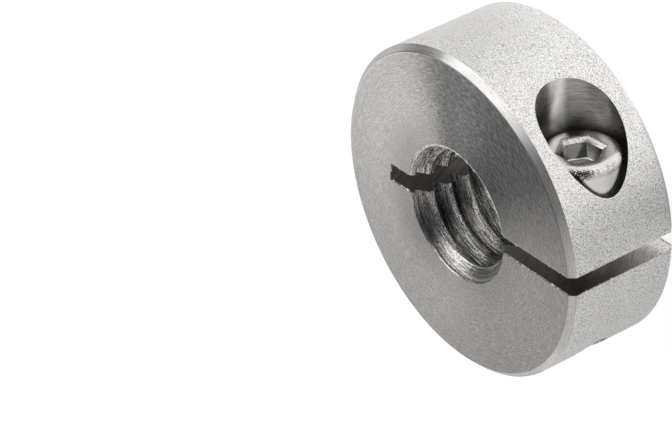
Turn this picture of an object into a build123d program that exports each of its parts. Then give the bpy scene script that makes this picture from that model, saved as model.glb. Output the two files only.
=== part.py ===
from build123d import *
from math import radians, tan
import os

os.makedirs("parts", exist_ok=True)

# Clamping ring with a threaded bore, split on one side and drawn together by one
# socket head cap screw. The ring lies on its rear face: Z is the ring's axis, the
# split opens towards +X, and the screw goes in from +Y. Millimetres and degrees.

# Ring, turned from stainless bar
ring_diameter = 24.0
ring_width = 9.0
edge_chamfer = 0.45

# Bore thread, metric coarse, cut right through
thread_diameter = 10.0
thread_pitch = 1.5
thread_angle = 60.0
thread_phase = 0.25  # height of the groove's middle over the rear face, on the split's side
mouth_diameter = 10.1  # of the lead-in chamfer, where it meets each face

# Saw kerf: through the wall on +X, across the bore and a little way into the wall on -X
kerf_width = 1.4
kerf_past_thread = 2.0
kerf_step = 0.17  # the saw cut one half of the kerf's end this much deeper

# Clamp screw, a socket head cap screw
screw_diameter = 3.0
screw_length = 8.0
screw_tip_chamfer = 0.35
head_diameter = 5.4
head_height = 3.0
head_rounding = 0.55
under_head_fillet = 0.08
socket_across_flats = 2.5
socket_depth = 1.5
socket_bevel = 0.32
socket_turn = 4.7  # from square to the ring, as the screw was left
drill_point_diameter = 2.2
drill_point_depth = 0.4

# How the screw sits in the ring
wall_to_thread = 1.33  # between the bore thread and the screw's clearance hole
lug_shift = 0.1  # the upper lug's holes lie this much further out than the tapped hole
screw_rise = 0.1  # the screw lies this much nearer the front face than mid-width
lug_under_head = 3.3
pocket_clearance = 0.28  # around the head
hole_clearance = 0.2  # around the screw in the upper lug
thread_clearance = 0.03  # around the screw in the lower lug's tapped hole

# What follows from those sizes
ring_radius = ring_diameter / 2
thread_slope = tan(radians(thread_angle / 2))
groove_root = thread_pitch / 8
groove_mouth = thread_pitch * 3 / 4
groove_depth = (groove_mouth - groove_root) / 2 / thread_slope
bore_radius = thread_diameter / 2 - groove_depth
kerf_end = thread_diameter / 2 + kerf_past_thread
screw_radius = screw_diameter / 2
hole_radius = screw_radius + hole_clearance
pocket_radius = head_diameter / 2 + pocket_clearance
pocket_offset = thread_diameter / 2 + wall_to_thread + hole_radius
screw_offset = pocket_offset - lug_shift
screw_height = ring_width / 2 + screw_rise
seat_height = kerf_width / 2 + lug_under_head

# Planes across the screw's axis: in the middle of the kerf, under and on the head
kerf_middle = Plane(origin=(screw_offset, 0, screw_height), x_dir=(1, 0, 0), z_dir=(0, 1, 0))
screw_seat = kerf_middle.offset(seat_height)
head_top = screw_seat.offset(head_height)
socket_floor = head_top.offset(-socket_depth)

# Plane over the upper lug, square on the axis of its own two holes
lug_top = Plane(origin=(pocket_offset, ring_radius, screw_height), x_dir=(1, 0, 0), z_dir=(0, 1, 0))


# Thread groove, the cutter's shape: a 60 degree trapezium carried along the bore's helix.
# It starts a turn below the rear face and ends a turn above the front face, and it stands
# a little inside the bore wall, so that it runs out of the metal on every side.
groove_start = thread_phase - thread_pitch
groove_inset = thread_pitch / 8
inset_mouth = groove_mouth + 2 * groove_inset * thread_slope
groove_plane = Plane(origin=(bore_radius, 0, groove_start), x_dir=(1, 0, 0), z_dir=(0, -1, 0))

with BuildPart() as thread_groove:
    with BuildLine() as thread_path:
        Helix(
            pitch=thread_pitch,
            height=ring_width + 2 * thread_pitch,
            radius=bore_radius,
            center=(0, 0, groove_start),
        )
    with BuildSketch(groove_plane):
        with BuildLine():
            Polyline(
                (-groove_inset, inset_mouth / 2),
                (groove_depth, groove_root / 2),
                (groove_depth, -groove_root / 2),
                (-groove_inset, -inset_mouth / 2),
                close=True,
            )
        make_face()
    sweep(path=thread_path.line, is_frenet=True)


# Ring: one turned piece, threaded, slit and drilled for its screw
with BuildPart() as clamp_ring:
    Cylinder(ring_radius, ring_width, align=(Align.CENTER, Align.CENTER, Align.MIN))
    chamfer(clamp_ring.edges().filter_by(GeomType.CIRCLE), length=edge_chamfer)
    Hole(bore_radius)
    add(thread_groove.part, mode=Mode.SUBTRACT)

    # Lead-in chamfer at both mouths of the thread
    with BuildSketch(Plane.XZ):
        for face_height, way_in in ((0, 1), (ring_width, -1)):
            with BuildLine():
                Polyline(
                    (0, face_height),
                    (mouth_diameter / 2, face_height),
                    (0, face_height + way_in * mouth_diameter / 2),
                    close=True,
                )
            make_face()
    revolve(axis=Axis.Z, mode=Mode.SUBTRACT)

    # Kerf, with the step at its end
    with BuildSketch():
        with Locations((-kerf_end, 0)):
            Rectangle(kerf_end + ring_diameter, kerf_width, align=(Align.MIN, Align.CENTER))
            Rectangle(kerf_step, kerf_width / 2, align=(Align.MAX, Align.MAX))
    extrude(amount=ring_width, mode=Mode.SUBTRACT)

    # Pocket and clearance hole in the upper lug, then the tapped hole through the lower lug
    with Locations(lug_top):
        CounterBoreHole(
            radius=hole_radius,
            counter_bore_radius=pocket_radius,
            counter_bore_depth=ring_radius - seat_height,
            depth=ring_radius,
        )
    with Locations(kerf_middle):
        Hole(radius=screw_radius, depth=ring_radius)

clamp_ring.part.label = "clamp_ring"
export_step(clamp_ring.part, "parts/clamp_ring.step")


# Clamp screw: half of its outline, turned about the screw's axis, then the hexagon socket
screw_axis = Axis(screw_seat.origin, (0, 1, 0))
screw_section = Plane(origin=screw_seat.origin, x_dir=(1, 0, 0), z_dir=(0, 0, 1))
shank_radius = screw_radius - thread_clearance

with BuildPart() as clamp_screw:
    with BuildSketch(screw_section) as half_outline:
        Rectangle(head_diameter / 2, head_height, align=(Align.MIN, Align.MIN))
        Rectangle(shank_radius, screw_length, align=(Align.MIN, Align.MAX))
        under_head = half_outline.vertices().group_by(Axis.Y)[1].sort_by(Axis.X)[0]
        fillet(under_head, radius=under_head_fillet)
        tip = half_outline.vertices().group_by(Axis.Y)[0].sort_by(Axis.X)[-1]
        chamfer(tip, length=screw_tip_chamfer)
        rim = half_outline.vertices().group_by(Axis.Y)[-1].sort_by(Axis.X)[-1]
        fillet(rim, radius=head_rounding)
    revolve(axis=screw_axis)

    # Hexagon socket with its bevelled mouth
    with BuildSketch(socket_floor):
        RegularPolygon(socket_across_flats / 2, 6, major_radius=False, rotation=socket_turn)
    extrude(amount=socket_depth, mode=Mode.SUBTRACT)
    socket_mouth = clamp_screw.edges().filter_by(GeomType.LINE).group_by(Axis.Y)[-1]
    chamfer(socket_mouth, length=socket_bevel)

    # Point of the drill that opened the socket
    with BuildSketch(screw_section):
        with BuildLine():
            Polyline(
                (0, head_height - socket_depth),
                (drill_point_diameter / 2, head_height - socket_depth),
                (0, head_height - socket_depth - drill_point_depth),
                close=True,
            )
        make_face()
    revolve(axis=screw_axis, mode=Mode.SUBTRACT)

clamp_screw.part.label = "clamp_screw"
export_step(clamp_screw.part, "parts/clamp_screw.step")
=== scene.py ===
from math import cos, hypot, pi, radians, sin, sqrt
import bmesh
import bpy
from mathutils import Matrix, Vector


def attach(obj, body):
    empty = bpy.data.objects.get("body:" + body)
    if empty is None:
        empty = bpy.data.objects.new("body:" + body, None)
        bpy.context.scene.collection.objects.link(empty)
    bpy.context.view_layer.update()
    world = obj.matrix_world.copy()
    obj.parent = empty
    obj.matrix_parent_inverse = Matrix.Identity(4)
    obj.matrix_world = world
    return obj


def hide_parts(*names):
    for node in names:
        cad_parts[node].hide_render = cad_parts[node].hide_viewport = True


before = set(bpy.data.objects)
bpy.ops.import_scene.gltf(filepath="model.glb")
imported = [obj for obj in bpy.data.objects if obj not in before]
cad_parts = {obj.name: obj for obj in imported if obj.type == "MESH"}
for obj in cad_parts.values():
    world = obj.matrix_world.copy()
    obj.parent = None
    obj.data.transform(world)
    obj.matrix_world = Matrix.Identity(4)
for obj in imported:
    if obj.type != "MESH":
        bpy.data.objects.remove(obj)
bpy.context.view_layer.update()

MM = 0.001  # the scene is in metres, the ring's sizes below are in millimetres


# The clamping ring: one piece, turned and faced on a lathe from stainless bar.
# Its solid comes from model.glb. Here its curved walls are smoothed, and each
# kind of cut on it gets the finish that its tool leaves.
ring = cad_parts["clamp_ring"]
ring_radius = 12.0
ring_width = 9.0
edge_chamfer = 0.45


def feed(tree, value, socket):
    """Gives a socket a link or a plain value."""
    if isinstance(value, bpy.types.NodeSocket):
        tree.links.new(value, socket)
    else:
        socket.default_value = value


def node(tree, kind, inputs=(), **settings):
    """One node with its settings and what goes into it."""
    made = tree.nodes.new(kind)
    for name, value in settings.items():
        setattr(made, name, value)
    for name, value in dict(inputs).items():
        feed(tree, value, made.inputs[name])
    return made


def calc(tree, operation, *terms):
    """The result of a Math node."""
    return node(tree, "ShaderNodeMath", dict(enumerate(terms)), operation=operation).outputs[0]


def times(tree, *terms):
    """Masks and amounts multiplied together."""
    product = terms[0]
    for term in terms[1:]:
        product = calc(tree, "MULTIPLY", product, term)
    return product


def hypotenuse(tree, a, b):
    """The long side of a right-angled corner, from its two short sides."""
    return calc(tree, "SQRT", calc(tree, "ADD", calc(tree, "POWER", a, 2.0), calc(tree, "POWER", b, 2.0)))


def effect(name, inputs, outputs):
    """An empty shader node group with named inputs and outputs."""
    tree = bpy.data.node_groups.new(name, "ShaderNodeTree")
    kinds = {"f": "NodeSocketFloat", "v": "NodeSocketVector"}
    for label, kind, value in inputs:
        made = tree.interface.new_socket(label, in_out="INPUT", socket_type=kinds[kind])
        made.default_value = value
    for label, kind in outputs:
        tree.interface.new_socket(label, in_out="OUTPUT", socket_type=kinds[kind])
    return tree, tree.nodes.new("NodeGroupInput"), tree.nodes.new("NodeGroupOutput")


def object_place(tree):
    """Where a point lies in its own object, in millimetres."""
    here = node(tree, "ShaderNodeTexCoord").outputs["Object"]
    return node(tree, "ShaderNodeVectorMath", {0: here, 1: (1 / MM,) * 3}, operation="MULTIPLY").outputs[0]


# Where a point lies on something turned, in millimetres: how far out, how far
# along the axis, and which way round, as a share of a turn and in degrees.
turned_place, given, result = effect(
    "turned_place",
    [("Centre", "v", (0.0, 0.0, 0.0)), ("Lying", "f", 0.0)],
    [("Out", "f"), ("Along", "f"), ("Turn", "f"), ("Degrees", "f"), ("Cosine", "f"), ("Sine", "f")],
)
t = turned_place
here = node(t, "ShaderNodeVectorMath", {0: object_place(t), 1: given.outputs["Centre"]},
            operation="SUBTRACT").outputs[0]
part = node(t, "ShaderNodeSeparateXYZ", {0: here}).outputs
lying = given.outputs["Lying"]


def either(upright, flat):
    """The first value for a Z axis, the second for a Y axis."""
    made = node(t, "ShaderNodeMix", {0: lying, 2: upright, 3: flat})
    return made.outputs[0]


side_a = part[0]
side_b = either(part[1], times(t, part[2], -1.0))
along = either(part[2], part[1])
out = hypotenuse(t, side_a, side_b)
safe = calc(t, "MAXIMUM", out, 0.001)
turn = calc(t, "DIVIDE", calc(t, "ARCTAN2", side_b, side_a), 2 * pi)
for name, value in (
    ("Out", out), ("Along", along), ("Turn", turn), ("Degrees", times(t, turn, 360.0)),
    ("Cosine", calc(t, "DIVIDE", side_a, safe)), ("Sine", calc(t, "DIVIDE", side_b, safe)),
):
    feed(t, value, result.inputs[name])


def span(tree, value, low, high, to_low=0.0, to_high=1.0):
    """A value stretched from one range to another, and held inside it."""
    made = node(tree, "ShaderNodeMapRange", {
        "Value": value, "From Min": low, "From Max": high,
        "To Min": to_low, "To Max": to_high,
    })
    return made.outputs["Result"]


def vector(tree, x, y, z):
    """Three values as one vector."""
    return node(tree, "ShaderNodeCombineXYZ", {0: x, 1: y, 2: z}).outputs[0]


# Tool marks: streaks that run round a turned surface, fine ones and broad ones.
tool_marks, given, result = effect(
    "tool_marks",
    [("Across", "f", 0.0), ("Cosine", "f", 1.0), ("Sine", "f", 0.0),
     ("Fine", "f", 0.04), ("Broad", "f", 0.3), ("Length", "f", 6.0)],
    [("Fine marks", "f"), ("Broad marks", "f"), ("Bright scratches", "f"),
     ("Dark scratches", "f"), ("Height", "f")],
)
t = tool_marks
heights = []
for size, shorter, label in (("Fine", 1.0, "Fine marks"), ("Broad", 0.35, "Broad marks")):
    reach = times(t, given.outputs["Length"], shorter)
    at = vector(
        t,
        times(t, given.outputs["Cosine"], reach),
        times(t, given.outputs["Sine"], reach),
        calc(t, "DIVIDE", given.outputs["Across"], given.outputs[size]),
    )
    streaks = node(t, "ShaderNodeTexNoise", {
        "Vector": at, "Scale": 1.0, "Detail": 3.0, "Roughness": 0.6,
    }).outputs[0]
    if size == "Broad":
        for level, scratches in ((0.55, "Bright scratches"), (0.44, "Dark scratches")):
            off_line = calc(t, "ABSOLUTE", calc(t, "SUBTRACT", streaks, level))
            feed(t, span(t, off_line, 0.028, 0.016), result.inputs[scratches])
    streaks = span(t, streaks, 0.28, 0.72)
    feed(t, streaks, result.inputs[label])
    heights.append(streaks)
feed(t, calc(t, "ADD", times(t, heights[0], 0.6), times(t, heights[1], 0.4)),
     result.inputs["Height"])

# Grain: the fine pits and specks of a tumbled or acid-cleaned surface.
steel_grain, given, result = effect(
    "steel_grain", [("Size", "f", 0.1), ("Share", "f", 0.2)],
    [("Specks", "f"), ("Cloud", "f"), ("Height", "f")],
)
t = steel_grain
here = node(t, "ShaderNodeTexCoord").outputs["Object"]
fineness = calc(t, "DIVIDE", 1 / MM, given.outputs["Size"])
specks = node(t, "ShaderNodeTexNoise", {
    "Vector": here, "Scale": fineness, "Detail": 1.0, "Roughness": 0.5,
}).outputs[0]
edge = calc(t, "SUBTRACT", 0.66, times(t, given.outputs["Share"], 0.4))
feed(t, span(t, specks, edge, calc(t, "ADD", edge, 0.07)), result.inputs["Specks"])
feed(t, span(t, specks, 0.25, 0.75), result.inputs["Height"])
cloud = node(t, "ShaderNodeTexNoise", {
    "Vector": here, "Scale": times(t, fineness, 0.045), "Detail": 3.0,
}).outputs[0]
feed(t, span(t, cloud, 0.3, 0.7), result.inputs["Cloud"])

# Broken edges: the tiny round that deburring leaves, and a mask along it.
broken_edge, given, result = effect(
    "broken_edge", [("Radius", "f", 0.00003)], [("Normal", "v"), ("Edge", "f")],
)
t = broken_edge
rounded = node(t, "ShaderNodeBevel", {"Radius": given.outputs["Radius"]}, samples=6).outputs[0]
flat = node(t, "ShaderNodeNewGeometry").outputs["Normal"]
turned = node(t, "ShaderNodeVectorMath", {0: rounded, 1: flat},
              operation="DOT_PRODUCT").outputs["Value"]
feed(t, rounded, result.inputs["Normal"])
feed(t, span(t, turned, 0.999, 0.94), result.inputs["Edge"])

# A direction of the object's own as the world sees it, at length 1, and a normal
# that leans over that way by the direction's own length.
own_way, given, result = effect(
    "own_way", [("Way", "v", (0.0, 0.0, 1.0)), ("Normal", "v", (0.0, 0.0, 0.0))],
    [("Unit", "v"), ("Normal", "v")],
)
t = own_way
way = node(t, "ShaderNodeVectorTransform", {0: given.outputs["Way"]}, vector_type="VECTOR",
           convert_from="OBJECT", convert_to="WORLD").outputs[0]
leaning = node(t, "ShaderNodeVectorMath", {0: given.outputs["Normal"], 1: way},
               operation="ADD").outputs[0]
for name, value in (("Unit", way), ("Normal", leaning)):
    unit = node(t, "ShaderNodeVectorMath", {0: value}, operation="NORMALIZE").outputs[0]
    feed(t, unit, result.inputs[name])


def placed(tree, group, **inputs):
    """A shader node group in a material, with its own values."""
    made = tree.nodes.new("ShaderNodeGroup")
    made.node_tree = group
    for name, value in inputs.items():
        feed(tree, value, made.inputs[name.replace("_", " ").capitalize()])
    return made.outputs


def tint(tree, mask, plain, marked):
    """One colour turning into another where the mask is 1."""
    made = tree.nodes.new("ShaderNodeMix")
    made.data_type = "RGBA"
    feed(tree, mask, made.inputs[0])
    feed(tree, plain, made.inputs[6])
    feed(tree, marked, made.inputs[7])
    return made.outputs[2]


def grey(level, warm=0.026):
    """A steel colour: a grey with a little warmth."""
    return (level * (1 + warm), level, level * (1 - warm), 1.0)


def finish(name):
    """A new material's tree and its shader, a plain metal to begin with."""
    made = bpy.data.materials.new(name)
    made.use_nodes = True
    shader = made.node_tree.nodes["Principled BSDF"]
    shader.inputs["Metallic"].default_value = 1.0
    return made, made.node_tree, shader


def tooled(tree, place, across, **sizes):
    """The marks of a tool that ran round a turned place, side by side across it."""
    return placed(tree, tool_marks, across=across, cosine=place["Cosine"], sine=place["Sine"], **sizes)


def coat(tree, shader, colour, marks, roughness):
    """The shader's colour, and a roughness between two values that follows the marks."""
    feed(tree, colour, shader.inputs["Base Color"])
    feed(tree, span(tree, marks, 0.0, 1.0, *roughness), shader.inputs["Roughness"])


def relief(tree, shader, height, depth, normal):
    """Bumps of a given depth in millimetres on top of a normal."""
    bump = node(tree, "ShaderNodeBump", {
        "Height": height, "Distance": depth * MM, "Strength": 1.0, "Normal": normal,
    })
    feed(tree, bump.outputs[0], shader.inputs["Normal"])


def grain_along(tree, shader, way, amount):
    """Sets which way the marks stretch a highlight."""
    shader.inputs["Anisotropic"].default_value = amount
    feed(tree, placed(tree, own_way, way=way)["Unit"], shader.inputs["Tangent"])


# The two faces are turned square to the axis. The tool leaves fine rings, each
# with its long flank leaning outwards, so light spreads across them in fans.
bright_steel = grey(1.0, 0.0)
face_steel, tree, shader = finish("faced_steel")
place = placed(tree, turned_place)
marks = tooled(tree, place, place["Out"], fine=0.09, broad=0.32, length=20.0)
grain = placed(tree, steel_grain, size=0.1, share=0.2)
edge = placed(tree, broken_edge, radius=0.00003)
colour = tint(tree, marks["Fine marks"], grey(0.44), grey(0.96))
colour = tint(tree, times(tree, grain["Height"], 0.8), colour, grey(0.46))
colour = tint(tree, times(tree, marks["Broad marks"], 0.15), colour, grey(0.56))
colour = tint(tree, times(tree, grain["Specks"], 0.45), colour, grey(0.25))
# Painted highlight and painted shade: the fine marks are painted brighter and darker on the side of the
# face where the light fans across it.
fan = calc(tree, "ADD", times(tree, place["Cosine"], 0.4), times(tree, place["Sine"], 0.917))
fan = span(tree, fan, 0.7, 0.95)
painted_fan_glints = times(tree, span(tree, marks["Fine marks"], 0.55, 0.75), fan, 0.65)
colour = tint(tree, painted_fan_glints, colour, bright_steel)
painted_fan_shade = times(tree, span(tree, marks["Fine marks"], 0.42, 0.25), fan, 0.25)
colour = tint(tree, painted_fan_shade, colour, grey(0.2))
# Painted highlight: the face's rounded edges are painted light, everywhere but round the bore on its lower
# side.
painted_edge_highlight = calc(tree, "MAXIMUM", span(tree, place["Out"], 6.0, 8.0), span(tree, place["Sine"], -0.1, 0.2))
colour = tint(tree, times(tree, edge["Edge"], painted_edge_highlight), colour, grey(0.8))
# Painted highlight: a bright line along the face's outer edge, on one side of the ring.
painted_rim_glint = times(tree, span(tree, place["Out"], 11.45, 11.49),
                 span(tree, place["Cosine"], 0.0, -0.15), 0.45)
colour = tint(tree, painted_rim_glint, colour, bright_steel)
# Painted shade: the face darkens towards the bore, more strongly on one side.
painted_inner_shade = times(tree, span(tree, place["Out"], 8.4, 6.0), span(tree, place["Cosine"], -0.2, -0.8), 0.45)
painted_inner_shade = calc(tree, "ADD", painted_inner_shade, span(tree, place["Out"], 7.5, 5.2, 0.0, 0.25))
colour = tint(tree, painted_inner_shade, colour, grey(0.3))
coat(tree, shader, colour, marks["Broad marks"], (0.20, 0.22))
grain_along(tree, shader, vector(tree, place["Cosine"], place["Sine"], 0.0), 1.0)
lean = span(tree, place["Out"], 6.0, 11.5, 0.205, 0.14)
lean = vector(tree, times(tree, place["Cosine"], lean), times(tree, place["Sine"], lean), 0.0)
leant = placed(tree, own_way, way=lean, normal=edge["Normal"])["Normal"]
relief(tree, shader, marks["Height"], 0.006, leant)

# The outside keeps the fine grain of drawn and tumbled bar: a light satin with
# small dark pits, and faint rings from the lathe under it.
outside_steel, tree, shader = finish("outside_steel")
place = placed(tree, turned_place)
marks = tooled(tree, place, place["Along"], fine=0.05, broad=0.5, length=9.0)
grain = placed(tree, steel_grain, size=0.075, share=0.22)
edge = placed(tree, broken_edge, radius=0.00004)
coarse = span(tree, place["Cosine"], -0.5, 0.1, 0.55, 1.0)
colour = tint(tree, marks["Fine marks"], grey(0.93), bright_steel)
pitted = times(tree, span(tree, grain["Height"], 0.36, 0.76), coarse)
colour = tint(tree, pitted, colour, grey(0.50))
colour = tint(tree, times(tree, grain["Cloud"], 0.1), colour, grey(0.74))
colour = tint(tree, times(tree, grain["Specks"], coarse, 0.5), colour, grey(0.22))
colour = tint(tree, edge["Edge"], colour, grey(0.85))
coat(tree, shader, colour, grain["Height"], (0.46, 0.34))
height = calc(tree, "ADD", times(tree, grain["Height"], 0.8), times(tree, marks["Height"], 0.3))
relief(tree, shader, height, 0.012, edge["Normal"])


def within(tree, value, start, full, fading, end):
    """A mask that rises to 1 over the first two edges and falls again over the last two."""
    return times(tree, span(tree, value, start, full), span(tree, value, end, fading))


# The outer edges are chamfered with the corner of the same tool, in one light
# pass each. The rings are shallower, and the line along each face stays dark.
chamfer_steel, tree, shader = finish("chamfer_steel")
place = placed(tree, turned_place)
marks = tooled(tree, place, place["Out"], fine=0.05, broad=0.15, length=4.0)
grain = placed(tree, steel_grain, size=0.12, share=0.2)
edge = placed(tree, broken_edge, radius=0.00003)
colour = tint(tree, marks["Fine marks"], grey(0.48), grey(0.76))
colour = tint(tree, times(tree, grain["Specks"], 0.45), colour, grey(0.3))
# Painted highlight: two stretches of the chamfer are painted bright, on one side of the ring.
far_end = within(tree, place["Cosine"], 0.5, 0.6, 0.66, 0.76)
near_end = within(tree, place["Cosine"], -0.1, -0.06, 0.05, 0.17)
painted_chamfer_highlight = times(tree, calc(tree, "ADD", far_end, near_end), span(tree, place["Sine"], 0.0, 0.3), 0.5)
colour = tint(tree, painted_chamfer_highlight, colour, bright_steel)
colour = tint(tree, edge["Edge"], colour, grey(0.78))
colour = tint(tree, span(tree, place["Out"], 11.61, 11.57, 0.0, 0.65), colour, grey(0.15))
coat(tree, shader, colour, marks["Broad marks"], (0.24, 0.32))
relief(tree, shader, marks["Height"], 0.0025, edge["Normal"])

# The bore is tapped with a coarse metric thread. The tap tears the tough steel a
# little: streaks run along the thread, and its crests carry bright torn specks.
thread_pitch = 1.5
bore_steel, tree, shader = finish("tapped_bore_steel")
place = placed(tree, turned_place)
climb = calc(tree, "SUBTRACT", place["Along"], times(tree, place["Turn"], thread_pitch))
across = calc(tree, "ADD", climb, times(tree, place["Out"], 0.8))
marks = tooled(tree, place, across, fine=0.125, broad=0.24, length=3.0)
grain = placed(tree, steel_grain, size=0.13)
edge = placed(tree, broken_edge, radius=0.00004)
colour = tint(tree, span(tree, marks["Fine marks"], 0.25, 0.75), grey(0.12), grey(0.94))
colour = tint(tree, times(tree, grain["Height"], 0.4), colour, grey(0.18))
colour = tint(tree, times(tree, marks["Broad marks"], 0.4), colour, grey(0.16))
crest = span(tree, place["Out"], 4.32, 4.22, 0.0, 0.42)
colour = tint(tree, crest, colour, grey(0.85))
from_middle = calc(tree, "ABSOLUTE", calc(tree, "SUBTRACT", place["Along"], ring_width / 2))
from_ends = calc(tree, "SUBTRACT", ring_width / 2, from_middle)
# Painted shade: the thread's roots are darkened, deeper in the bore only.
painted_root_shade = times(tree, span(tree, place["Out"], 4.45, 4.9), span(tree, from_ends, 0.7, 1.4), 0.6)
colour = tint(tree, painted_root_shade, colour, grey(0.10))
lead_in = times(tree, span(tree, from_ends, 0.95, 0.7), span(tree, place["Out"], 4.25, 4.35))
rough_cut = times(tree, lead_in, 0.6)
colour = tint(tree, rough_cut, colour, tint(tree, grain["Height"], grey(0.88), grey(0.18)))
torn_run = calc(tree, "SUBTRACT", 1.0, rough_cut)
dark_tears = times(tree, span(tree, marks["Fine marks"], 0.34, 0.2), torn_run, 0.8)
colour = tint(tree, dark_tears, colour, grey(0.07))
bright_tears = times(tree, span(tree, marks["Fine marks"], 0.68, 0.82), torn_run, 0.9)
colour = tint(tree, bright_tears, colour, grey(0.92))
pepper = span(tree, grain["Height"], 0.4, 0.3, 0.0, 0.7)
colour = tint(tree, pepper, colour, grey(0.05))
salt = times(tree, span(tree, grain["Height"], 0.6, 0.7), span(tree, place["Out"], 4.6, 4.2, 0.4, 1.0))
colour = tint(tree, salt, colour, grey(0.96))
colour = tint(tree, times(tree, marks["Dark scratches"], 0.7), colour, grey(0.06))
colour = tint(tree, times(tree, marks["Bright scratches"], 0.9), colour, grey(0.98))
# Painted highlight on a stretch of the flanks that slants along the bore, and painted shade in a band
# beside it.
slant = times(tree, calc(tree, "SUBTRACT", 8.0, place["Along"]), 5.0)
from_painted_highlight = calc(tree, "ABSOLUTE", calc(tree, "ADD", calc(tree, "ADD", place["Degrees"], 104.0), slant))
colour = tint(tree, span(tree, from_painted_highlight, 20.0, 10.0, 0.0, 0.1), colour, grey(0.97))
painted_shade_band = times(tree, within(tree, from_painted_highlight, 22.0, 32.0, 44.0, 58.0), 0.5)
colour = tint(tree, painted_shade_band, colour, grey(0.08))
# The lead-in is darker over one stretch round the bore.
darker_lead_in_run = times(tree, within(tree, place["Degrees"], -76.0, -62.0, -10.0, 0.0), lead_in, 0.5)
colour = tint(tree, darker_lead_in_run, colour, grey(0.1))
# Painted highlight: the bore's rounded edges are painted light on its upper side only.
painted_edge_highlight = span(tree, place["Sine"], -0.1, 0.2)
colour = tint(tree, times(tree, edge["Edge"], painted_edge_highlight), colour, grey(0.85))
coat(tree, shader, colour, marks["Fine marks"], (0.38, 0.22))
relief(tree, shader, marks["Height"], 0.05, edge["Normal"])

# The slot is sawn with a thin round blade. Its teeth leave shallow arcs on both
# walls, with dark lines among them deep in the slot, and a rough blind end.
blade_centre = (36.0, -14.0)
kerf_steel, tree, shader = finish("sawn_steel")
part = node(tree, "ShaderNodeSeparateXYZ", {0: object_place(tree)}).outputs
reach_x = calc(tree, "SUBTRACT", part[0], blade_centre[0])
reach_z = calc(tree, "SUBTRACT", part[2], blade_centre[1])
marks = placed(
    tree, tool_marks, across=hypotenuse(tree, reach_x, reach_z),
    cosine=calc(tree, "ARCTAN2", reach_z, reach_x), sine=times(tree, part[1], 2.0),
    fine=0.14, broad=0.4, length=9.0,
)
grain = placed(tree, steel_grain, size=0.09, share=0.3)
edge = placed(tree, broken_edge, radius=0.00004)
sawn = tint(tree, span(tree, marks["Fine marks"], 0.3, 0.7), grey(0.35), bright_steel)
colour = tint(tree, span(tree, part[0], 5.5, 2.0), grey(0.70), sawn)
colour = tint(tree, times(tree, grain["Height"], 0.7), colour, grey(0.30))
saw_lines = times(tree, marks["Dark scratches"], span(tree, part[0], 4.5, -1.0, 0.3, 0.8))
colour = tint(tree, saw_lines, colour, grey(0.1))
# Painted light: the walls grow bright towards the slot's open rear end, where light comes in.
painted_rear_light = calc(tree, "ADD", part[2], times(tree, grain["Height"], 0.6))
colour = tint(tree, span(tree, painted_rear_light, 2.3, 1.4, 0.0, 0.8), colour, grey(0.97))
torn = times(tree, grain["Specks"], span(tree, part[2], 3.0, 1.2, 0.2, 0.85))
colour = tint(tree, torn, colour, grey(0.2))
# Painted shade: the walls darken away from the slot's rear end.
colour = tint(tree, span(tree, part[2], 3.0, 6.0, 0.0, 0.45), colour, grey(0.2))
blind_end = span(tree, part[0], -3.0, -4.2)
colour = tint(tree, blind_end, colour, tint(tree, marks["Broad marks"], grey(0.28), grey(0.76)))
colour = tint(tree, edge["Edge"], colour, grey(0.72))
coat(tree, shader, colour, marks["Fine marks"], (0.38, 0.26))
relief(tree, shader, marks["Height"], 0.01, edge["Normal"])

# The screw's pocket and its holes are bored from outside, across the ring. The
# counterbore leaves a smooth wall with fine rings round the screw's axis.
pocket_axis = (8.03, 0.0, 4.6)
pocket_steel, tree, shader = finish("bored_steel")
place = placed(tree, turned_place, centre=pocket_axis, lying=1.0)
marks = tooled(tree, place, place["Along"], fine=0.085, broad=0.35, length=3.0)
edge = placed(tree, broken_edge, radius=0.00003)
colour = tint(tree, marks["Fine marks"], grey(0.32), grey(0.80))
# Painted reflection: a bright streak down one side of the wall, and a dark one beside it.
painted_bright_streak = within(tree, place["Sine"], -0.1, -0.02, 0.26, 0.4)
painted_bright_streak = times(tree, painted_bright_streak, span(tree, place["Cosine"], -0.8, -0.9), 0.8)
colour = tint(tree, painted_bright_streak, colour, grey(0.99))
painted_dark_streak = times(tree, span(tree, place["Sine"], -0.1, -0.17), span(tree, place["Cosine"], -0.7, -0.85), 0.5)
colour = tint(tree, painted_dark_streak, colour, grey(0.15))
# Painted shade: the wall is darkened round the level of the head's top.
colour = tint(tree, span(tree, place["Along"], 8.2, 7.1, 0.0, 0.75), colour, grey(0.12))
colour = tint(tree, span(tree, place["Along"], 6.7, 6.2, 0.0, 0.8), colour, grey(0.8))
colour = tint(tree, edge["Edge"], colour, grey(0.78))
coat(tree, shader, colour, marks["Broad marks"], (0.24, 0.28))
grain_along(tree, shader, (0.0, 1.0, 0.0), 0.97)
relief(tree, shader, marks["Height"], 0.0015, edge["Normal"])

# Each facet of the ring gets the finish of the cut that it lies on. The limits
# that tell the cuts apart stand a few hundredths of a millimetre off their walls.
cuts = [face_steel, outside_steel, chamfer_steel, bore_steel, kerf_steel, pocket_steel]
ring.data.materials.clear()
for cut in cuts:
    ring.data.materials.append(cut)
kerf_limit = 0.72
pocket_limit = 3.02
hole_limit = 1.75
pocket_floor = 3.95
outer_limit = ring_radius - edge_chamfer - 0.02


def cut_at(centre, normal):
    """Which of the cuts a facet of the ring belongs to."""
    x, y, z = (v / MM for v in centre)
    upright = abs(normal.z)
    from_pocket = hypot(x - pocket_axis[0], z - pocket_axis[2])
    if abs(y) > kerf_limit and from_pocket < (pocket_limit if y > pocket_floor else hole_limit):
        return pocket_steel
    at_blind_end = -8.0 < x < -6.5
    if abs(y) < kerf_limit and upright < 0.5 and (abs(normal.y) > 0.9 or at_blind_end):
        return kerf_steel
    if upright > 0.99 and min(z, ring_width - z) < 0.01:
        return face_steel
    if hypot(x, y) > outer_limit:
        return outside_steel if upright < 0.1 else chamfer_steel
    return bore_steel


for facet in ring.data.polygons:
    facet.material_index = cuts.index(cut_at(facet.center, facet.normal))

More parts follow.
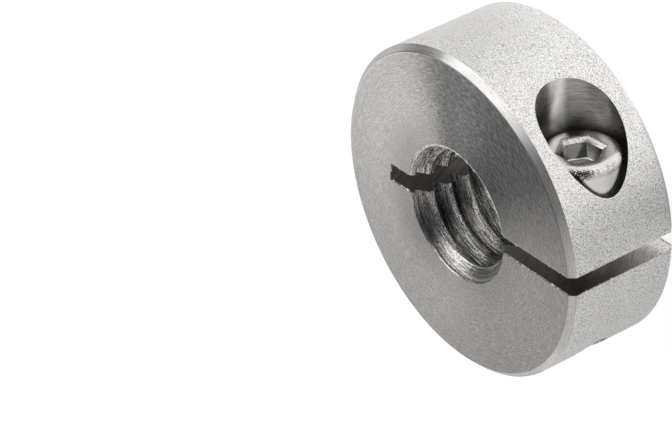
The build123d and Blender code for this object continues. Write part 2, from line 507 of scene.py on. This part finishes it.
# A solid comes as loose facets. These nodes join them and shade across every
# edge that turns less than a given angle, so round walls look round.
weld = 0.0000005  # in metres: points of loose facets that lie this near are one
smooth_walls = bpy.data.node_groups.new("smooth_walls", "GeometryNodeTree")
t = smooth_walls
t.interface.new_socket("Geometry", in_out="INPUT", socket_type="NodeSocketGeometry")
t.interface.new_socket("Sharp Angle", in_out="INPUT", socket_type="NodeSocketFloat").default_value = 0.45
t.interface.new_socket("Geometry", in_out="OUTPUT", socket_type="NodeSocketGeometry")
given = node(t, "NodeGroupInput")
joined = node(t, "GeometryNodeMergeByDistance", {"Geometry": given.outputs["Geometry"], "Distance": weld})
soft = node(t, "GeometryNodeSetShadeSmooth", {"Geometry": joined.outputs[0], "Shade Smooth": True},
            domain="FACE")
bend = node(t, "GeometryNodeInputMeshEdgeAngle").outputs[0]
sharp = node(t, "FunctionNodeCompare", {0: bend, 1: given.outputs["Sharp Angle"]},
             data_type="FLOAT", operation="GREATER_THAN").outputs[0]
crisp = node(t, "GeometryNodeSetShadeSmooth",
             {"Geometry": soft.outputs[0], "Selection": sharp, "Shade Smooth": False}, domain="EDGE")
t.links.new(crisp.outputs[0], node(t, "NodeGroupOutput").inputs[0])
ring.modifiers.new("smooth_walls", "NODES").node_group = smooth_walls


# The clamp screw: a cold-formed stainless socket head cap screw with a rolled
# metric thread. Its head keeps the satin of tumbling, its socket the punch marks.
screw_axis = (7.93, 0.0, 4.6)
screw_seat = 4.0
screw_tip = -4.0
screw_crest = 1.47
screw_root = 1.19
screw_pitch = 0.5
head_top = 7.0

screw_steel, tree, shader = finish("cold_formed_steel")
place = placed(tree, turned_place, centre=screw_axis, lying=1.0)
marks = tooled(tree, place, place["Along"], fine=0.12, length=3.0)
grain = placed(tree, steel_grain, size=0.16)
edge = placed(tree, broken_edge, radius=0.00002)
colour = tint(tree, marks["Fine marks"], grey(0.82), grey(0.92))
colour = tint(tree, span(tree, place["Along"], 6.9, 6.98, 0.0, 0.4), colour, grey(0.5))
colour = tint(tree, times(tree, grain["Cloud"], 0.3), colour, grey(0.70))
belt = within(tree, place["Along"], 6.2, 6.45, 6.88, 6.98)
left_patch = within(tree, place["Degrees"], -66.0, -56.0, -32.0, -22.0)
right_patch = times(tree, within(tree, place["Degrees"], -6.0, 0.0, 14.0, 20.0), 0.3)
scuffed = calc(tree, "ADD", calc(tree, "MAXIMUM", left_patch, right_patch), 0.2)
scuffs = placed(tree, steel_grain, size=0.085)
scuffed = times(tree, span(tree, scuffs["Height"], 0.75, 0.35), belt, scuffed)
colour = tint(tree, scuffed, colour, grey(0.04))
# Painted reflection: a dark patch at the back of the head's rim, where the dark pocket wall mirrors in it.
painted_dark_reflection = within(tree, place["Degrees"], 128.0, 142.0, 163.0, 168.0)
painted_dark_reflection = times(tree, painted_dark_reflection, span(tree, place["Out"], 1.6, 1.7), span(tree, place["Along"], 6.6, 6.8), 0.85)
colour = tint(tree, painted_dark_reflection, colour, grey(0.05))
colour = tint(tree, edge["Edge"], colour, grey(0.95))
coat(tree, shader, colour, grain["Height"], (0.28, 0.2))
relief(tree, shader, times(tree, grain["Height"], calc(tree, "ADD", belt, 0.15)), 0.02, edge["Normal"])

# The socket is punched, which leaves its walls smooth; their dark colour is painted
# shade. Then its mouth is coined to a bright bevel, bent on one side, that the key has bruised.
socket_steel, tree, shader = finish("punched_steel")
place = placed(tree, turned_place, centre=screw_axis, lying=1.0)
marks = tooled(tree, place, place["Along"], fine=0.09, length=2.0)
grain = placed(tree, steel_grain, size=0.11)
edge = placed(tree, broken_edge, radius=0.00005)
colour = tint(tree, marks["Fine marks"], grey(0.28), grey(0.50))
# Painted shade: the walls on one side of the socket are darkened further.
painted_wall_shade = calc(tree, "MAXIMUM", span(tree, place["Degrees"], 124.0, 126.0),
                 span(tree, place["Degrees"], -175.0, -176.0))
colour = tint(tree, times(tree, painted_wall_shade, 0.72), colour, grey(0.1))
colour = tint(tree, span(tree, place["Along"], 5.52, 5.50), colour, grey(0.75))
bevel = span(tree, place["Along"], 6.67, 6.70)
bruised = tint(tree, span(tree, grain["Height"], 0.5, 0.75, 0.0, 0.75), grey(0.84), grey(0.22))
colour = tint(tree, bevel, colour, bruised)
colour = tint(tree, edge["Edge"], colour, grey(0.99))
colour = tint(tree, span(tree, place["Along"], 6.95, 6.98, 0.0, 0.8), colour, grey(0.1))
coat(tree, shader, colour, bevel, (0.2, 0.36))
bent = times(tree, within(tree, place["Degrees"], 63.0, 66.0, 123.0, 126.0), bevel)
lean = vector(tree, times(tree, bent, 0.45), 0.0, times(tree, bent, -0.3))
leant = placed(tree, own_way, way=lean, normal=edge["Normal"])["Normal"]
relief(tree, shader, times(tree, grain["Height"], bevel), 0.005, leant)

# The thread is rolled: one sheet of rows that climb the helix, wrapped round the
# shank, with its ends drawn in to the axis. The same nodes line a tapped hole.
thread_rows = bpy.data.node_groups.new("thread_rows", "GeometryNodeTree")
t = thread_rows
rows_each_turn = 16.0
for name, kind, value in (
    ("Centre", "Vector", tuple(v * MM for v in screw_axis)), ("Pitch", "Float", screw_pitch * MM),
    ("Crest Radius", "Float", screw_crest * MM), ("Root Radius", "Float", screw_root * MM),
    ("Low End", "Float", screw_tip * MM), ("High End", "Float", screw_seat * MM),
    ("Barrel Radius", "Float", 0.0), ("Tip Chamfer", "Float", 0.35 * MM),
    ("End Slope", "Float", -8.0), ("Least Radius", "Float", 0.0),
    ("Most Radius", "Float", screw_crest * MM), ("Turns", "Int", 19), ("Sides", "Int", 48),
):
    made = t.interface.new_socket(name, in_out="INPUT", socket_type="NodeSocket" + kind)
    made.default_value = value
t.interface.new_socket("Steel", in_out="INPUT", socket_type="NodeSocketMaterial")
t.interface.new_socket("Geometry", in_out="OUTPUT", socket_type="NodeSocketGeometry")
given = node(t, "NodeGroupInput").outputs
rows = calc(t, "ADD", times(t, given["Turns"], rows_each_turn), 1.0)
columns = calc(t, "ADD", given["Sides"], 1.0)
sheet = node(t, "GeometryNodeMeshGrid", {"Size X": 1.0, "Size Y": 1.0, "Vertices X": rows,
                                         "Vertices Y": columns}).outputs[0]
spot = node(t, "ShaderNodeSeparateXYZ", {0: node(t, "GeometryNodeInputPosition").outputs[0]}).outputs
row = times(t, calc(t, "ADD", spot[0], 0.5), given["Turns"])
turn = calc(t, "ADD", spot[1], 0.5)
raw = calc(t, "ADD", row, calc(t, "SUBTRACT", turn, 2.0))
raw = calc(t, "ADD", times(t, raw, given["Pitch"]), given["Low End"])
flank = calc(t, "ABSOLUTE", calc(t, "SUBTRACT", times(t, calc(t, "FRACT", row), 2.0), 1.0))
out = span(t, flank, 0.125, 0.75, given["Crest Radius"], given["Root Radius"])
angle = times(t, turn, 2 * pi)
middle = node(t, "ShaderNodeSeparateXYZ", {0: given["Centre"]}).outputs

# The thread's low end is flat, or else follows the round outside of a barrel.
wall_x = calc(t, "ADD", middle[0], times(t, calc(t, "SINE", angle), given["Most Radius"]))
barrel = calc(t, "SUBTRACT", calc(t, "POWER", given["Barrel Radius"], 2.0),
              calc(t, "POWER", wall_x, 2.0))
barrel = times(t, calc(t, "SQRT", calc(t, "MAXIMUM", barrel, 0.0)), -1.0)
no_barrel = calc(t, "LESS_THAN", given["Barrel Radius"], 0.000001)
low = calc(t, "MAXIMUM", given["Low End"], calc(t, "SUBTRACT", barrel, no_barrel))
below = calc(t, "MAXIMUM", calc(t, "SUBTRACT", low, raw), 0.0)
above = calc(t, "MAXIMUM", calc(t, "SUBTRACT", raw, given["High End"]), 0.0)
height = calc(t, "MINIMUM", calc(t, "MAXIMUM", raw, low), given["High End"])

# Its first turn is chamfered, and past both ends the rows slope in or out.
inside = calc(t, "SUBTRACT", calc(t, "SUBTRACT", height, low), given["Tip Chamfer"])
lean = calc(t, "SIGN", given["End Slope"])
cone = times(t, calc(t, "MINIMUM", inside, 0.0), times(t, lean, -1.0))
cone = calc(t, "ADD", given["Crest Radius"], cone)
is_hole = calc(t, "GREATER_THAN", given["End Slope"], 0.0)
tipped = calc(t, "MINIMUM", out, cone)
out = node(t, "ShaderNodeMix", {0: is_hole, 2: tipped, 3: calc(t, "MAXIMUM", out, cone)}).outputs[0]
out = calc(t, "ADD", out, times(t, calc(t, "ADD", below, above), given["End Slope"]))
out = calc(t, "MINIMUM", calc(t, "MAXIMUM", out, given["Least Radius"]), given["Most Radius"])
wrapped = vector(
    t,
    calc(t, "ADD", middle[0], times(t, calc(t, "SINE", angle), out)),
    height,
    calc(t, "ADD", middle[2], times(t, calc(t, "COSINE", angle), out)),
)
moved = node(t, "GeometryNodeSetPosition", {"Geometry": sheet, "Position": wrapped}).outputs[0]
moved = node(t, "GeometryNodeMergeByDistance", {"Geometry": moved, "Distance": weld}).outputs[0]
moved = node(t, "GeometryNodeRealizeInstances", {0: moved}).outputs[0]
moved = node(t, "GeometryNodeSetMaterial", {"Geometry": moved, "Material": given["Steel"]}).outputs[0]
t.links.new(moved, node(t, "NodeGroupOutput").inputs[0])


def grown(name, nodes, start=None, **sizes):
    """A plain mesh made by a node tree, its inputs set by their names."""
    seed = bpy.data.objects.new(name + "_seed", start or bpy.data.meshes.new(name + "_seed"))
    bpy.context.collection.objects.link(seed)
    modifier = seed.modifiers.new(name, "NODES")
    modifier.node_group = nodes
    for item in nodes.interface.items_tree:
        label = item.name.replace(" ", "_").lower()
        if item.in_out == "INPUT" and label in sizes:
            modifier[item.identifier] = sizes[label]
    bpy.context.view_layer.update()
    seen = seed.evaluated_get(bpy.context.evaluated_depsgraph_get())
    mesh = bpy.data.meshes.new_from_object(seen)
    mesh.name = name
    seed.modifiers.remove(modifier)
    bpy.data.objects.remove(seed)
    return mesh


def piece(name, mesh, body):
    """A finished piece of the object, which moves with its body."""
    made = bpy.data.objects.new(name, mesh)
    bpy.context.collection.objects.link(made)
    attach(made, body)
    return made


def shade_round(mesh, sharp=0.6):
    """Smooth shading, with a crisp line where the surface turns sharply."""
    mesh.polygons.foreach_set("use_smooth", [True] * len(mesh.polygons))
    mesh.set_sharp_from_angle(angle=sharp)


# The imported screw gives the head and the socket. Its plain shank is drawn in
# until the thread hides it, and the two are joined in one mesh.
drawn_in = 0.3
shank_top = screw_seat - 0.04
shank_end = screw_tip + 0.2
socket_reach = 1.8
thread_mesh = grown("screw_thread", thread_rows, steel=screw_steel)
packed_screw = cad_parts["clamp_screw"]
body = bmesh.new()
body.from_mesh(packed_screw.data)
bmesh.ops.remove_doubles(body, verts=body.verts, dist=weld)
for corner in body.verts:
    if corner.co.y < shank_top * MM:
        corner.co.x += (screw_axis[0] * MM - corner.co.x) * drawn_in
        corner.co.z += (screw_axis[2] * MM - corner.co.z) * drawn_in
        corner.co.y = max(corner.co.y, shank_end * MM)
core = bpy.data.meshes.new("screw_core")
body.to_mesh(core)
body.free()
whole = bmesh.new()
whole.from_mesh(thread_mesh)
bmesh.ops.remove_doubles(whole, verts=whole.verts, dist=weld)
bmesh.ops.recalc_face_normals(whole, faces=whole.faces)
whole.from_mesh(core)
screw_mesh = bpy.data.meshes.new("screw_whole")
whole.to_mesh(screw_mesh)
whole.free()
screw_mesh.materials.append(screw_steel)
screw_mesh.materials.append(socket_steel)
for facet in screw_mesh.polygons:
    x, y, z = (v / MM for v in facet.center)
    from_axis = hypot(x - screw_axis[0], z - screw_axis[2])
    sunk = from_axis < socket_reach and screw_seat + 0.5 < y < head_top - 0.005
    facet.material_index = 1 if sunk else 0
shade_round(screw_mesh, 0.45)
screw = piece("cap_screw", screw_mesh, "screw")
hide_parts("clamp_screw")


# The tapped hole for the screw goes right through the lower lug. The screw ends
# inside it, and the rest of its fine thread shows from below.
tapped_mesh = grown(
    "tapped_thread", thread_rows, crest_radius=1.25 * MM, root_radius=1.5 * MM,
    low_end=-11.0 * MM, high_end=(screw_tip - 0.15) * MM, barrel_radius=(ring_radius - 0.005) * MM,
    tip_chamfer=0.25 * MM, end_slope=8.0, least_radius=1.25 * MM, most_radius=1.54 * MM,
    turns=17, sides=48, steel=pocket_steel,
)
lining = bmesh.new()
lining.from_mesh(tapped_mesh)
bmesh.ops.remove_doubles(lining, verts=lining.verts, dist=weld)
rims = [line for line in lining.edges if line.is_boundary]
bmesh.ops.bridge_loops(lining, edges=rims)
bmesh.ops.recalc_face_normals(lining, faces=lining.faces)
lining.to_mesh(tapped_mesh)
lining.free()
shade_round(tapped_mesh)
piece("tapped_thread", tapped_mesh, "ring")


# The saw leaves a thin torn burr along the slot's edges, and the tool one round
# the bore's mouths. It lies just off each edge, thick here and gone there.
kerf_half = 0.7
kerf_blind = 7.0
mouth_radius = 5.05
flat_radius = ring_radius - edge_chamfer
wall_inset = 0.02
face_inset = 0.095
round_inset = 0.06
face_lines = []
outside_lines = []
mouth_at = sqrt(mouth_radius ** 2 - kerf_half ** 2)
flat_at = sqrt(flat_radius ** 2 - kerf_half ** 2)
round_at = sqrt(ring_radius ** 2 - kerf_half ** 2)
for side in (1, -1):
    y = side * (kerf_half - wall_inset)
    for z in (ring_width - face_inset, face_inset):
        face_lines.append([(mouth_at + 0.05, y, z), (flat_at - 0.01, y, z)])
        face_lines.append([(-mouth_at - 0.05, y, z), (-kerf_blind + face_inset, y, z)])
    x = round_at - round_inset
    outside_lines.append([(x, y, ring_width - edge_chamfer), (x, y, edge_chamfer)])


def arc(radius, height, start, sweep, steps):
    """A line round the bore's axis, its angles in degrees."""
    turns = [radians(start + sweep * i / steps) for i in range(steps + 1)]
    return [(radius * cos(a), radius * sin(a), height) for a in turns]


rolled_lines = [arc(mouth_radius - 0.13, ring_width - 0.142, start=98, sweep=54, steps=20)]
mouth_lines = [arc(mouth_radius - 0.1, z, start=8.5, sweep=163, steps=60)
               for z in (ring_width - 0.102, 0.102)]


def edge_mesh(name, lines):
    """Lines along the ring's edges, as a mesh of edges only."""
    corners = [tuple(v * MM for v in p) for line in lines for p in line]
    links, first = [], 0
    for line in lines:
        links += [(first + i, first + i + 1) for i in range(len(line) - 1)]
        first += len(line)
    made = bpy.data.meshes.new(name)
    made.from_pydata(corners, links, [])
    return made


torn_edge = bpy.data.node_groups.new("torn_edge", "GeometryNodeTree")
t = torn_edge
t.interface.new_socket("Geometry", in_out="INPUT", socket_type="NodeSocketGeometry")
for name, kind, value in (("Spacing", "Float", 0.05 * MM), ("Thickness", "Float", 0.074 * MM),
                          ("Thinnest", "Float", 0.4), ("Thin Below", "Float", 0.4),
                          ("Seed", "Float", 3.0)):
    t.interface.new_socket(name, in_out="INPUT", socket_type="NodeSocket" + kind).default_value = value
t.interface.new_socket("Steel", in_out="INPUT", socket_type="NodeSocketMaterial")
t.interface.new_socket("Geometry", in_out="OUTPUT", socket_type="NodeSocketGeometry")
given = node(t, "NodeGroupInput").outputs
line = node(t, "GeometryNodeMeshToCurve", {"Mesh": given["Geometry"]}).outputs[0]
line = node(t, "GeometryNodeResampleCurve", {"Curve": line, "Length": given["Spacing"]},
            mode="LENGTH").outputs[0]
where = node(t, "GeometryNodeInputPosition").outputs[0]
wear = node(t, "ShaderNodeTexNoise", {"Vector": where, "W": given["Seed"], "Scale": 4200.0, "Detail": 2.0},
            noise_dimensions="4D").outputs[0]
wide = times(t, span(t, wear, given["Thin Below"], 0.62, given["Thinnest"], 1.0), given["Thickness"])
section = node(t, "GeometryNodeCurvePrimitiveCircle", {"Resolution": 6, "Radius": 1.0}).outputs[0]
wire = node(t, "GeometryNodeCurveToMesh", {"Curve": line, "Profile Curve": section, "Scale": wide,
                                           "Fill Caps": True}).outputs[0]
wire = node(t, "GeometryNodeRealizeInstances", {0: wire}).outputs[0]
wire = node(t, "GeometryNodeSetMaterial", {"Geometry": wire, "Material": given["Steel"]}).outputs[0]
t.links.new(wire, node(t, "NodeGroupOutput").inputs[0])

burr_steel, tree, shader = finish("torn_steel")
grain = placed(tree, steel_grain, size=0.12)
coat(tree, shader, tint(tree, grain["Height"], grey(0.8), grey(0.98)), grain["Cloud"], (0.2, 0.3))
for name, lines, thickness, thinnest, thin_below in (
    ("face_burr", face_lines, 0.09, 0.12, 0.5), ("outside_burr", outside_lines, 0.055, 0.1, 0.58),
    ("mouth_burr", mouth_lines, 0.1, 0.5, 0.4), ("rolled_burr", rolled_lines, 0.14, 0.6, 0.35),
):
    burr = grown(name, torn_edge, edge_mesh(name + "_path", lines), steel=burr_steel,
                 thickness=thickness * MM, thinnest=thinnest, thin_below=thin_below, seed=5.0)
    shade_round(burr, 1.4)
    piece(name, burr, "ring")


# The table is plain white board, large enough to fill every view, with a faint shadow.
# In the steel's reflections it glows in patches: painted light, brighter here than there.
table_radius = 3.0
table_sides = 64
table_mesh = bpy.data.meshes.new("table")
turns = [2 * pi * i / table_sides for i in range(table_sides)]
rim = [(table_radius * cos(a), table_radius * sin(a), 0.0) for a in turns]
table_mesh.from_pydata(rim, [], [tuple(range(table_sides))])
table = bpy.data.objects.new("table", table_mesh)
bpy.context.collection.objects.link(table)
board = bpy.data.materials.new("white_board")
board.use_nodes = True
tree = board.node_tree
tree.nodes.remove(tree.nodes["Principled BSDF"])
path = node(tree, "ShaderNodeLightPath").outputs
here = object_place(tree)
spot = node(tree, "ShaderNodeSeparateXYZ", {0: here}).outputs
from_middle = node(tree, "ShaderNodeVectorMath", {0: here}, operation="LENGTH").outputs["Value"]
# Painted light: how strongly the board glows for reflections, place by place.
painted_glow = span(tree, spot[1], 4.5, 8.5, 0.48, span(tree, spot[0], -9.0, 1.0, 0.6, 0.9))
painted_glow = calc(tree, "ADD", painted_glow, span(tree, from_middle, 4.5, 3.5, 0.0, 0.4))
under_slot = span(tree, calc(tree, "ABSOLUTE", spot[1]), 0.9, 0.6)
under_slot = times(tree, under_slot, within(tree, spot[0], 6.0, 7.5, 11.2, 11.8), 0.3)
painted_glow = calc(tree, "ADD", painted_glow, under_slot)
strip = times(tree, within(tree, spot[1], 0.0, 1.8, 3.0, 4.8), 0.14)
painted_glow = calc(tree, "SUBTRACT", painted_glow, strip)
shiny = calc(tree, "MAXIMUM", path["Is Glossy Ray"], path["Is Transmission Ray"])
mixed = node(tree, "ShaderNodeBsdfDiffuse", {"Color": grey(0.8, 0.0)}).outputs[0]
for seen, level, glow in ((shiny, 0.35, painted_glow), (path["Is Camera Ray"], 0.42, 0.85)):
    paper = node(tree, "ShaderNodeBsdfDiffuse", {"Color": grey(level, 0.0)}).outputs[0]
    light = node(tree, "ShaderNodeEmission", {"Strength": glow}).outputs[0]
    white = node(tree, "ShaderNodeAddShader", {0: paper, 1: light}).outputs[0]
    mixed = node(tree, "ShaderNodeMixShader", {0: seen, 1: mixed, 2: white}).outputs[0]
tree.links.new(mixed, tree.nodes["Material Output"].inputs["Surface"])
table_mesh.materials.append(board)


# Light: a pale tent all round, dark overhead, round the camera and in two patches
# behind the ring, and a broad soft lamp over the side of the screw.
away = Vector((-0.684, -0.549, 0.0)).normalized()
across_view = Vector((-0.625, 0.780, 0.0))
world = bpy.data.worlds.new("pale_tent")
bpy.context.scene.world = world
world.use_nodes = True
tree = world.node_tree
sky = node(tree, "ShaderNodeTexCoord").outputs["Generated"]
rise = node(tree, "ShaderNodeSeparateXYZ", {0: sky}).outputs[2]


def towards(way):
    """How far a direction of the tent lies towards another, from -1 to 1."""
    return node(tree, "ShaderNodeVectorMath", {0: sky, 1: tuple(way)},
                operation="DOT_PRODUCT").outputs["Value"]


side = towards(across_view)
tent = tint(tree, span(tree, side, -0.8, -0.2), grey(0.70, 0.0), grey(0.44, 0.0))
tent = tint(tree, span(tree, side, -0.1, -0.05), tent, grey(0.70, 0.0))
tent = tint(tree, span(tree, side, -0.04, 0.06), tent, grey(0.94, 0.0))
far = span(tree, towards(away), 0.0, 0.15)
horizon = times(tree, far, span(tree, rise, 0.245, 0.205))
tent = tint(tree, horizon, tent, grey(0.94, 0.0))
fan_edge = calc(tree, "SUBTRACT", rise, times(tree, side, 0.45))
fan = times(tree, far, span(tree, fan_edge, 0.490, 0.508), within(tree, side, -0.13, -0.03, 0.3, 0.45))
tent = tint(tree, fan, tent, grey(0.10, 0.0))
low = times(tree, far, within(tree, rise, 0.1, 0.24, 0.55, 0.66),
            within(tree, side, 0.42, 0.55, 0.86, 0.93))
tent = tint(tree, low, tent, grey(0.16, 0.0))
tent = tint(tree, span(tree, rise, 0.82, 0.92), tent, grey(0.16, 0.0))
round_camera = span(tree, towards((0.684, 0.549, 0.482)), cos(radians(46)), cos(radians(30)))
tent = tint(tree, round_camera, tent, grey(0.19, 0.0))
feed(tree, tent, tree.nodes["Background"].inputs["Color"])


def soft_lamp(name, way, distance, size, strength):
    """A square soft lamp that faces the ring, of a given brightness."""
    data = bpy.data.lights.new(name, "AREA")
    data.shape = "SQUARE"
    data.size = size
    data.energy = strength * pi * size * size
    lamp = bpy.data.objects.new(name, data)
    way = Vector(way).normalized()
    lamp.location = way * distance
    lamp.rotation_euler = way.to_track_quat("Z", "Y").to_euler()
    bpy.context.collection.objects.link(lamp)


over_screw = across_view * 0.72 - away * 0.09 + Vector((0.0, 0.0, 0.66))
soft_lamp("high_lamp", over_screw, distance=0.5, size=0.46, strength=0.74)

# The camera stands a quarter of a metre off and looks down on the ring's front
# face, turned so that the bore's axis points to the left.
eye = Vector((162.217, 134.171, 133.047)) * MM
right = Vector((0.603678, -0.054192, -0.795384))
down = Vector((0.410195, -0.834377, 0.368177))
forward = Vector((-0.683603, -0.548523, -0.481466))
picture_width = 672  # in pixels, and so is the focal length
focal_length = 3650.81
sensor_width = 36.0
camera_data = bpy.data.cameras.new("camera")
camera_data.sensor_fit = "HORIZONTAL"
camera_data.sensor_width = sensor_width
camera_data.lens = sensor_width * focal_length / picture_width
camera_data.clip_start = 0.01
camera_data.clip_end = 20.0
camera = bpy.data.objects.new("camera", camera_data)
turned = Matrix((right, -down, -forward)).transposed().to_4x4()
camera.matrix_world = Matrix.Translation(eye) @ turned
bpy.context.collection.objects.link(camera)
bpy.context.scene.camera = camera
bpy.context.scene.view_settings.view_transform = "Standard"
